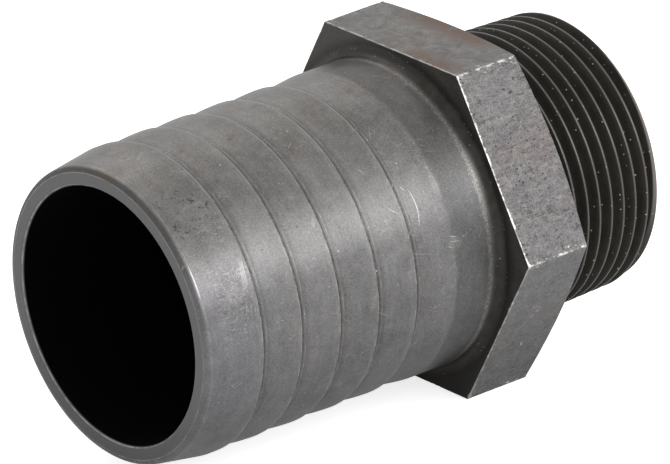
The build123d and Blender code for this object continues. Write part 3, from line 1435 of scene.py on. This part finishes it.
@dataclass(frozen=True)
class DrawnFlats(Finish):
    """The drawn bar's own skin on the hexagon: grain along the axis, pits, knocked bright edges."""

    # one steel in three greys, each flat painted lighter or darker as the light falls on it
    top: Rgb = (0.176, 0.168, 0.161)
    side: Rgb = (0.132, 0.125, 0.126)
    low: Rgb = (0.182, 0.181, 0.183)
    bare: Rgb = (0.8, 0.79, 0.77)
    nick: Rgb = (0.55, 0.54, 0.53)
    pit: Rgb = (0.018, 0.017, 0.017)
    rust: Rgb = (0.145, 0.094, 0.066)
    brown: Rgb = (1.02, 0.97, 0.93)
    roughness: float = 0.46
    corner_band: float = 2.2        # chips lie where the skin is this much further out than a flat
    scuff: Mark = Mark(58.9, -24.0, 1.3, 1.6, 0.0, 1.0, 0.8)
    dents: tuple[Mark, ...] = (
        Mark(53.2, 0.0, 0.4, 0.4, 0.0, 0.75, 0.6),
        Mark(53.1, -15.0, 0.15, 0.3, 0.0, 0.7, 0.5),
        Mark(53.1, -41.0, 0.15, 0.3, 0.0, 0.7, 0.5),
        Mark(59.3, -41.2, 0.12, 0.35, 20.0, 0.8, 0.5),
    )
    blots: tuple[Mark, ...] = (
        Mark(60.8, 51.2, 0.5, 0.2, 10.0, 0.7, 0.8),
        Mark(57.0, 19.0, 0.35, 0.45, 0.0, 0.4, 0.6),
        Mark(53.9, 21.2, 0.3, 0.35, 0.0, 0.35, 0.7),
    )

    def skin(self, p: Patina, start: float) -> FlatsGrain:
        """Start the coat: each flat in its own grey, painted lighter or darker as the light falls on it and
        darker towards the lower flats, brushed, mottled and browned.

        Args:
            p: the finish.
            start: where the hexagon starts.

        Returns:
            The patterns that the other layers share.
        """
        on_top = p.within(p.around, TOP - SIDE / 2, TOP + SIDE / 2, 0.05)
        below = p.span(p.around, 0.05, -0.05)
        swirl = p.grain(3.2, 4.0, (1, 1, 1), 0.62, 1.4)
        mottle = p.grain(0.6, 3.0, (1.4, 1, 1), 0.65, 0.5, 3.0)
        streaks = p.grain(0.5, 3.0, (6, 1, 1), 0.65, 0.2, 7.0)
        fine = p.grain(0.2, 2.0, (1.2, 1, 1), 0.75, 0.0, 13.0)
        plain = p.most(on_top, below)
        grainy = p.minus(1.0, p.reckon("MULTIPLY_ADD", on_top, 0.42, p.times(below, 0.2)))
        brushed = p.minus(1.0, p.times(plain, 0.75))
        cloudy = p.reckon("MULTIPLY_ADD", on_top, 0.7, 0.8)
        # painted shade: darker across the lower side flat towards the bottom
        shade = p.times(p.uneven(1.0, (swirl, cloudy)), p.span(p.around, -8.0, -58.0, 1.06, 0.8))
        shade = p.uneven(shade, (streaks, p.times(brushed, 1.1)), (mottle, p.times(grainy, 0.9)),
                         (fine, p.times(grainy, 3.0)))
        # the top, side and lower flats take their painted light and shade here
        p.begin(p.mixed(below, p.mixed(on_top, self.side, self.top), self.low), shade)
        middle = p.span(p.reckon("PINGPONG", p.around, SIDE / 2), 6.0, 26.0)
        browned = p.span(p.grain(7.0, 2.0, (1, 1, 1), 0.5, 0.0, 27.0), 0.4, 0.6)
        p.tint(self.brown, middle, browned, grainy, 0.8)
        return FlatsGrain(on_top, plain, grainy, swirl, mottle, streaks, fine, p.minus(p.along, start))

    def pits(self, p: Patina, grain: FlatsGrain) -> list[tuple[Number, float]]:
        """Sink small dark pits, thicker in clouds, and a few long ones.

        Args:
            p: the finish.
            grain: the shared patterns.

        Returns:
            Pairs of a pattern and its height, in millimetres, for the relief.
        """
        crowd = p.span(p.grain(3.5, 2.0, (1, 1, 1), 0.5, 0.0, 23.0), 0.35, 0.62, 0.25, 1.0)
        pits = p.most(p.specks(0.5, 0.12, 0.4, 19.0, (1.5, 1, 1)),
                      p.specks(1.0, 0.2, 0.45, 21.0, (1.3, 1, 1)))
        p.lay(self.pit, pits, grain.grainy, crowd, 0.85)
        deep = p.times(p.span(p.grain(0.8, 3.0, (3, 1, 1), 0.7, 0.6, 29.0), 0.61, 0.69), grain.grainy)
        pitted = p.most(p.within(p.around, 49.0, 56.0, 2.0), p.within(p.around, 5.0, 13.0, 2.0),
                        p.within(p.around, 98.0, 108.0, 4.0))
        p.lay(self.pit, deep, p.span(pitted, 0.0, 1.0, 0.15, 0.7))
        return [(pits, -0.03), (deep, -0.03)]

    def stains(self, p: Patina, grain: FlatsGrain) -> None:
        """Brown the top flat along its far edge and at its near corner, and draw the dark blots.

        Args:
            p: the finish.
            grain: the shared patterns.
        """
        far_edge = p.times(p.span(grain.past, 7.0, 11.0), p.within(p.around, 70.0, 108.0, 5.0))
        near_corner = p.times(p.span(grain.past, 4.5, 1.0), p.within(p.around, 62.0, 84.0, 5.0))
        p.lay(self.rust, p.most(far_edge, near_corner), p.span(grain.swirl, 0.36, 0.5), grain.on_top, 0.9)
        p.lay(self.pit, drawn(p, self.blots))

    def knocks(self, p: Patina, grain: FlatsGrain, corner_out: float) -> tuple[Number, Number]:
        """Nick the flats, chip them beside the long edges, and wear the edges themselves.

        Args:
            p: the finish.
            grain: the shared patterns.
            corner_out: distance from the axis beyond which the chips lie.

        Returns:
            The nicks and the worn edges.
        """
        nicks = p.most(p.specks(1.8, 0.15, 0.14, 37.0), p.specks(0.9, 0.1, 0.1, 43.0, (0.6, 1, 1)))
        p.lay(self.nick, nicks, 0.75)
        p.lay(self.bare, self.scuff.draw(p), p.hairs(0.4, 0.07, 0.6, 95.0, (3, 1, 1)), 0.45)
        p.lay(self.bare, drawn(p, self.dents))
        from_edge = p.reckon("PINGPONG", p.around, SIDE / 2)
        beside = p.times(p.span(from_edge, 3.0, 0.3), p.reckon("GREATER_THAN", p.out, corner_out))
        chips = p.most(p.span(p.grain(0.45, 3.0, (1.6, 1, 1), 0.7, 0.4, 47.0), 0.60, 0.68),
                       p.specks(0.6, 0.12, 0.25, 49.0))
        p.lay(self.bare, chips, beside, 0.85)
        rim_chips = p.span(p.grain(0.5, 3.0, (1, 1, 1), 0.7, 0.3, 51.0), 0.6, 0.7)
        p.lay(self.bare, p.span(grain.past, 1.3, 0.2), rim_chips, grain.grainy, 0.6)
        broken = p.span(p.grain(1.3, 4.0, (1, 1, 1), 0.7, 0.0, 53.0), 0.38, 0.62)
        worn = p.span(p.reckon("MULTIPLY_ADD", broken, 0.75, p.bare), 0.62, 1.5)
        worn = p.times(worn, p.span(grain.plain, 0.0, 1.0, 1.0, 0.42))
        p.lay(self.bare, worn)
        return nicks, worn

    def material(self, fitting: "HoseTail") -> bpy.types.Material:
        """Make the finish for the flats.

        Args:
            fitting: the piece that it covers.

        Returns:
            The material.
        """
        p = Patina("drawn_flats", fitting.station, seed=17.3)
        grain = self.skin(p, fitting.hexagon.start)
        pits = self.pits(p, grain)
        self.stains(p, grain)
        nicks, worn = self.knocks(p, grain, fitting.hexagon.half_across + self.corner_band)
        p.relief((grain.streaks, 0.006), (grain.mottle, 0.012), (grain.fine, 0.014), *pits, (nicks, -0.02),
                 (grain.swirl, 0.03))
        return p.dress(p.minus(p.uneven(self.roughness, (grain.fine, 0.3)), p.times(worn, 0.12)))


@dataclass(frozen=True)
class TurnedFace(Finish):
    """The lathe-cut faces of the hexagon: dark, oily, with faint rings, dust and painted shade near the tail,
    and painted shade low down.
    """

    face: Rgb = (0.078, 0.075, 0.07)
    # dark dust with painted shade, in the corner where the face meets the tail
    dust_and_painted_shade: Rgb = (0.034, 0.029, 0.024)
    bare: Rgb = (0.6, 0.59, 0.57)
    ring_turn: float = 21.0         # radians a millimetre: rings 0.3 mm apart

    def material(self, fitting: "HoseTail") -> bpy.types.Material:
        """Make the finish for the turned faces.

        Args:
            fitting: the piece that it covers.

        Returns:
            The material.
        """
        p = Patina("turned_face", fitting.station, seed=27.1)
        inner, start = fitting.tail.fillet_out, fitting.hexagon.start
        clouds = p.grain(3.5, 3.0, (1, 1, 1), 0.6, 0.6)
        fine = p.grain(0.3, 2.0, (1, 1, 1), 0.7, 0.0, 5.0)
        # painted shade on the lower part of the faces
        painted_shade_below = p.span(p.rise, -0.45, -0.9, 1.0, 0.35)
        p.begin(self.face, p.times(p.uneven(1.0, (clouds, 0.9), (fine, 0.8)), painted_shade_below))
        # dust and painted shade in the corner where the tail meets the face
        near_tail = p.span(p.out, inner + 1.7, inner - 0.1)
        p.lay(self.dust_and_painted_shade, near_tail, p.span(p.along, start + 1.5, start + 0.5), 0.85)
        rings = p.reckon("SINE", p.times(p.out, self.ring_turn))
        nicks = p.specks(1.4, 0.1, 0.14, 9.0)
        worn = p.span(p.reckon("MULTIPLY_ADD", fine, 0.4, p.bare), 0.6, 1.1)
        p.lay(self.bare, p.most(p.times(nicks, 0.6), p.times(worn, 0.7)))
        p.relief((rings, 0.004), (fine, 0.008), (nicks, -0.02))
        return p.dress(p.span(clouds, 0.3, 0.7, 0.42, 0.56))


@dataclass(frozen=True)
class CutThread(Finish):
    """The thread: oily black-brown grooves, rubbed grey crests, bright flecks of swarf and a painted
    highlight on the lead chamfer, stronger on the upper side.
    """

    groove: Rgb = (0.034, 0.0305, 0.025)
    crest: Rgb = (0.135, 0.128, 0.12)
    fleck: Rgb = (0.7, 0.63, 0.5)
    painted_chamfer_highlight: Rgb = (0.5, 0.45, 0.43)

    def material(self, fitting: "HoseTail") -> bpy.types.Material:
        """Make the finish for the thread.

        Args:
            fitting: the piece that it covers.

        Returns:
            The material.
        """
        p = Patina("cut_thread", fitting.station, seed=33.9)
        chamfer_start = fitting.thread.end - fitting.thread.lead_chamfer
        clouds = p.grain(3.0, 3.0, (1, 1, 1), 0.6, 0.4)
        fine = p.grain(0.28, 2.0, (1, 1, 1), 0.7, 0.0, 5.0)
        p.begin(self.groove, p.uneven(1.0, (clouds, 1.2), (fine, 0.9)))
        p.lay(self.crest, p.span(p.bare, 0.2, 0.8), p.span(fine, 0.25, 0.6, 0.65, 1.0))
        flecks = p.most(p.specks(0.7, 0.12, 0.22, 11.0), p.specks(1.4, 0.17, 0.3, 19.0))
        p.lay(self.fleck, flecks, 0.85)
        # painted highlight on the lead chamfer, stronger on the upper side
        on_chamfer = p.span(p.along, chamfer_start - 0.12, chamfer_start + 0.05)
        p.lay(self.painted_chamfer_highlight, on_chamfer, p.span(p.rise, -0.5, 0.1, 0.15, 0.9))
        p.relief((fine, 0.008), (flecks, 0.02))
        return p.dress(p.span(p.bare, 0.2, 0.8, 0.56, 0.4))


@dataclass(frozen=True)
class SmallEnd(Finish):
    """The end face of the thread, faced clean and rubbed."""

    face: Rgb = (0.2, 0.19, 0.18)
    roughness: float = 0.4
    ring_turn: float = 26.0         # radians a millimetre: rings 0.24 mm apart

    def material(self, fitting: "HoseTail") -> bpy.types.Material:
        """Make the finish for the end face.

        Args:
            fitting: the piece that it covers.

        Returns:
            The material.
        """
        p = Patina("small_end", fitting.station, seed=41.3)
        fine = p.grain(0.3, 2.0, (1, 1, 1), 0.7)
        clouds = p.grain(3.0, 3.0, (1, 1, 1), 0.6, 0.5, 5.0)
        p.begin(self.face, p.uneven(1.0, (clouds, 0.6), (fine, 0.5)))
        rings = p.reckon("SINE", p.times(p.out, self.ring_turn))
        p.relief((rings, 0.004), (fine, 0.006))
        return p.dress(self.roughness)


@dataclass(frozen=True)
class BoreInPaintedShade(Finish):
    """The inside, painted near black as the shade that fills it: matt, with a few flecks."""

    # near black: painted shade for the unlit inside of the bore
    painted_shade_wall: Rgb = (0.0022, 0.0021, 0.002)
    fleck: Rgb = (0.3, 0.2, 0.1)
    roughness: float = 0.9
    gloss: float = 0.04

    def material(self, fitting: "HoseTail") -> bpy.types.Material:
        """Make the finish for the bore.

        Args:
            fitting: the piece that it covers.

        Returns:
            The material.
        """
        p = Patina("bore_in_painted_shade", fitting.station, seed=47.7, metal=0.0)
        fine = p.grain(0.5, 3.0, (1, 1, 1), 0.7)
        p.begin(self.painted_shade_wall, p.span(fine, 0.3, 0.7, 0.6, 1.5))
        p.lay(self.fleck, p.specks(3.2, 0.14, 0.08, 3.0), 0.25)
        p.relief((fine, 0.01))
        p.shader.inputs["Specular IOR Level"].default_value = self.gloss
        return p.dress(self.roughness)


class HoseTail:
    """The whole fitting as one closed skin."""

    columns: int = 300
    corner_extras: tuple[float, ...] = (0.15, 0.35, 0.65)   # more columns beside each corner, in degrees
    weld: float = 2e-6              # points nearer than this, in metres, become one
    shortest: float = 1e-7          # edges shorter than this, in metres, are dissolved
    sharp: float = 50.0             # edges bent by more than this, in degrees, stay sharp

    def __init__(self, station: Station) -> None:
        """Set up the stretches so that each starts where the one before ends.

        Args:
            station: where the piece lies.
        """
        self.station = station
        self.tail = BarbedTail()
        self.hexagon = SpannerHexagon(self.tail.end, station.across_flats)
        self.thread = PipeThread(self.hexagon.end, station.length)
        self.bore = ThroughBore(station.length, self.hexagon.start, self.tail.bore / 2, self.tail.rim_break)

    def angles(self) -> np.ndarray:
        """The angles of the columns, closer together at the hexagon's corners.

        Returns:
            Angles from 0 to 360 degrees.
        """
        even = np.arange(self.columns) * 360.0 / self.columns
        extra = []
        for corner in np.arange(0.0, 360.0, SIDE):
            for step in self.corner_extras:
                extra += [corner + step, corner - step]
        turn = np.unique(np.round(np.concatenate([even, np.array(extra) % 360.0]), 6))
        return np.append(turn, 360.0)

    def bands(self, around: np.ndarray) -> list[Band]:
        """Every stretch in order, from the mouth along the outside and back through the bore.

        Args:
            around: the angles of the columns.

        Returns:
            The bands.
        """
        rows = [self.tail.mouth(around), self.tail.nose(around), self.tail.barbs(around),
                self.tail.land(around)]
        thread_foot = float(self.thread.crest_out(np.array(self.hexagon.end)))
        rows += self.hexagon.bands(around, self.tail.fillet_out, thread_foot)
        thread = self.thread.band(around)
        rows += [thread, self.bore.small_end(thread.out[-1]), self.bore.band(around)]
        return rows

    def mesh(self) -> bpy.types.Mesh:
        """Lay the bands side by side and close them into one skin.

        Returns:
            The mesh, its seams not yet welded, with how bare it is on each point.
        """
        around = self.angles()
        bands = self.bands(around)
        along = np.concatenate([b.along for b in bands])
        out = np.concatenate([b.out for b in bands])
        bare = np.concatenate([b.bare for b in bands])
        skins = np.concatenate([np.full(len(b.along), b.skin.value) for b in bands])
        rows, columns = along.shape
        points = self.station.points(along, out, np.broadcast_to(around, along.shape))
        first = np.arange(rows)[:, None] * columns + np.arange(columns - 1)[None, :]
        after = ((np.arange(rows) + 1) % rows)[:, None] * columns + np.arange(columns - 1)[None, :]
        quads = np.stack([first, first + 1, after + 1, after], axis=-1).reshape(-1, 4)
        mesh = bpy.data.meshes.new(PIECE)
        mesh.from_pydata(points.tolist(), [], quads.tolist())
        values = mesh.attributes.new(BARE, "FLOAT", "POINT")
        values.data.foreach_set("value", bare.ravel().astype(np.float32))
        # the faces between two rows have the finish of the second
        slots = np.roll(skins, -1)
        mesh.polygons.foreach_set("material_index", np.repeat(slots, columns - 1).astype(np.int32))
        mesh.update()
        return mesh

    def finishes(self) -> list[bpy.types.Material]:
        """Make the finish of every skin.

        Returns:
            The materials, in the order of the slots.
        """
        made: dict[Skin, Finish] = {
            Skin.TAIL: PhosphatedTail(),
            Skin.MOUTH: MouthRing(),
            Skin.FLATS: DrawnFlats(),
            Skin.TURNED_FACE: TurnedFace(),
            Skin.THREAD: CutThread(),
            Skin.SMALL_END: SmallEnd(),
            Skin.BORE: BoreInPaintedShade(),
        }
        return [made[skin].material(self) for skin in Skin]

    def build(self) -> bpy.types.Object:
        """Make the piece, weld its seams, shade it and give it its finishes.

        Returns:
            The piece.
        """
        mesh = self.mesh()
        work = bmesh.new()
        work.from_mesh(mesh)
        bmesh.ops.remove_doubles(work, verts=work.verts, dist=self.weld)
        bmesh.ops.dissolve_degenerate(work, edges=work.edges, dist=self.shortest)
        bmesh.ops.recalc_face_normals(work, faces=work.faces)
        open_edges = sum(1 for edge in work.edges if not edge.is_manifold)
        work.to_mesh(mesh)
        work.free()
        mesh.shade_smooth()
        mesh.set_sharp_from_angle(angle=math.radians(self.sharp))
        for material in self.finishes():
            mesh.materials.append(material)
        piece = bpy.data.objects.new(PIECE, mesh)
        bpy.context.scene.collection.objects.link(piece)
        log.info("%s: %d points, %d faces, %d open edges, %d finishes", piece.name, len(mesh.vertices),
                 len(mesh.polygons), open_edges, len(mesh.materials))
        return piece


def backdrop_strength(tree: bpy.types.NodeTree, light: float, camera: float, gloss: float) -> Socket:
    """A strength for a backdrop: one value as light, one for the camera, one in reflections.

    Args:
        tree: the backdrop's nodes.
        light: strength as light on the piece.
        camera: strength where the camera sees it.
        gloss: strength in glossy reflections and through glass.

    Returns:
        The strength.
    """
    path = tree.nodes.new("ShaderNodeLightPath")
    mirrored = tree.nodes.new("ShaderNodeMath")
    mirrored.operation = "MAXIMUM"
    tree.links.new(path.outputs["Is Glossy Ray"], mirrored.inputs[0])
    tree.links.new(path.outputs["Is Transmission Ray"], mirrored.inputs[1])
    in_gloss = tree.nodes.new("ShaderNodeMix")
    tree.links.new(mirrored.outputs[0], in_gloss.inputs["Factor"])
    in_gloss.inputs["A"].default_value = light
    in_gloss.inputs["B"].default_value = gloss
    in_camera = tree.nodes.new("ShaderNodeMix")
    tree.links.new(path.outputs["Is Camera Ray"], in_camera.inputs["Factor"])
    tree.links.new(in_gloss.outputs["Result"], in_camera.inputs["A"])
    in_camera.inputs["B"].default_value = camera
    return in_camera.outputs["Result"]


@dataclass(frozen=True)
class Lamp:
    """A soft lamp with a rectangular window.

    Args:
        name: of the lamp.
        place: where it hangs, in metres.
        faces: the point that it is turned to, in metres.
        size: width and height of its window, in metres.
        power: in watts.
    """

    name: str
    place: Triple
    faces: Triple
    size: tuple[float, float]
    power: float

    def hang(self) -> None:
        """Put the lamp into the scene."""
        data = bpy.data.lights.new(self.name, "AREA")
        data.shape = "RECTANGLE"
        data.size, data.size_y = self.size
        data.energy = self.power
        lamp = bpy.data.objects.new(self.name, data)
        lamp.location = self.place
        lamp.rotation_euler = (Vector(self.faces) - Vector(self.place)).to_track_quat("-Z", "Y").to_euler()
        bpy.context.scene.collection.objects.link(lamp)
        log.info("%s lamp: %.1f W", self.name, self.power)


@dataclass(frozen=True)
class Studio:
    """A pale floor, even light from all round, two soft lamps and the camera.

    Angles are in degrees, the camera's distance and the floor's half width in metres, and its lens
    in millimetres on a sensor of the width below.
    """

    aim: Triple = (-0.00055, 0.00042, 0.02490)
    azimuth: float = -39.195
    elevation: float = 23.335
    roll: float = -2.324
    distance: float = 1.4495
    lens: float = 547.94
    sensor: float = 36.0
    nearest: float = 0.01
    farthest: float = 100.0
    floor_half: float = 6.0
    floor_colour: Rgb = (0.8, 0.8, 0.8)
    floor_glow: float = 0.75
    floor_glow_gloss: float = 0.1
    sky_light: float = 0.72
    sky_gloss: float = 0.72
    sky_seen: float = 1.0
    sky_colour: Rgb = (1.0, 1.0, 1.0)
    lamps: tuple[Lamp, ...] = (
        Lamp("key", (0.9, -1.4, 0.86), (0.9, 0.0, 0.025), (2.2, 0.75), 17.0),
        Lamp("back", (0.2, 1.2, 1.2), (0.0, 0.0, 0.025), (1.2, 1.0), 4.5),
    )

    def camera(self) -> None:
        """A long lens on the piece from the front, left and above."""
        data = bpy.data.cameras.new("camera")
        data.lens = self.lens
        data.sensor_width = self.sensor
        data.clip_start = self.nearest
        data.clip_end = self.farthest
        camera = bpy.data.objects.new("camera", data)
        rise, turn = math.radians(self.elevation), math.radians(self.azimuth)
        back = Vector((math.cos(rise) * math.sin(turn), -math.cos(rise) * math.cos(turn), math.sin(rise)))
        look = (-back).to_track_quat("-Z", "Y").to_matrix().to_4x4()
        place = Matrix.Translation(Vector(self.aim) + back * self.distance)
        camera.matrix_world = place @ look @ Matrix.Rotation(math.radians(self.roll), 4, "Z")
        bpy.context.scene.collection.objects.link(camera)
        bpy.context.scene.camera = camera
        log.info("camera: %.0f mm lens, %.2f m away", self.lens, self.distance)

    def floor(self) -> None:
        """A wide pale floor that looks as bright as the backdrop and keeps the piece's soft shadow."""
        mesh = bpy.data.meshes.new("floor")
        half = self.floor_half
        corners = [(-half, -half, 0), (half, -half, 0), (half, half, 0), (-half, half, 0)]
        mesh.from_pydata(corners, [], [(0, 1, 2, 3)])
        floor = bpy.data.objects.new("floor", mesh)
        bpy.context.scene.collection.objects.link(floor)
        material = bpy.data.materials.new("pale_floor")
        material.use_nodes = True
        tree = material.node_tree
        tree.nodes.clear()
        out = tree.nodes.new("ShaderNodeOutputMaterial")
        both = tree.nodes.new("ShaderNodeAddShader")
        glow = tree.nodes.new("ShaderNodeEmission")
        matt = tree.nodes.new("ShaderNodeBsdfDiffuse")
        matt.inputs["Color"].default_value = (*self.floor_colour, 1.0)
        strength = backdrop_strength(tree, 0.0, self.floor_glow, self.floor_glow_gloss)
        tree.links.new(strength, glow.inputs["Strength"])
        tree.links.new(matt.outputs[0], both.inputs[0])
        tree.links.new(glow.outputs[0], both.inputs[1])
        tree.links.new(both.outputs[0], out.inputs["Surface"])
        mesh.materials.append(material)
        log.info("floor: %.0f m wide", 2 * half)

    def sky(self) -> None:
        """Even white light from all round."""
        world = bpy.data.worlds.new("studio")
        bpy.context.scene.world = world
        world.use_nodes = True
        tree = world.node_tree
        back = tree.nodes["Background"]
        strength = backdrop_strength(tree, self.sky_light, self.sky_seen, self.sky_gloss)
        tree.links.new(strength, back.inputs["Strength"])
        back.inputs["Color"].default_value = (*self.sky_colour, 1.0)
        log.info("sky: strength %.2f", self.sky_light)

    def build(self) -> None:
        """Set up everything round the piece."""
        self.camera()
        self.floor()
        self.sky()
        for lamp in self.lamps:
            lamp.hang()


def main() -> None:
    logging.basicConfig(level=logging.INFO, format="%(name)s: %(message)s")
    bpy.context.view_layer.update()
    station = Station.of_node(CAD_NODE)
    piece = HoseTail(station).build()
    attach(piece, "root")
    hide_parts(CAD_NODE)
    bpy.context.scene.view_settings.view_transform = "Standard"
    Studio().build()


if __name__ == "__main__":
    main()
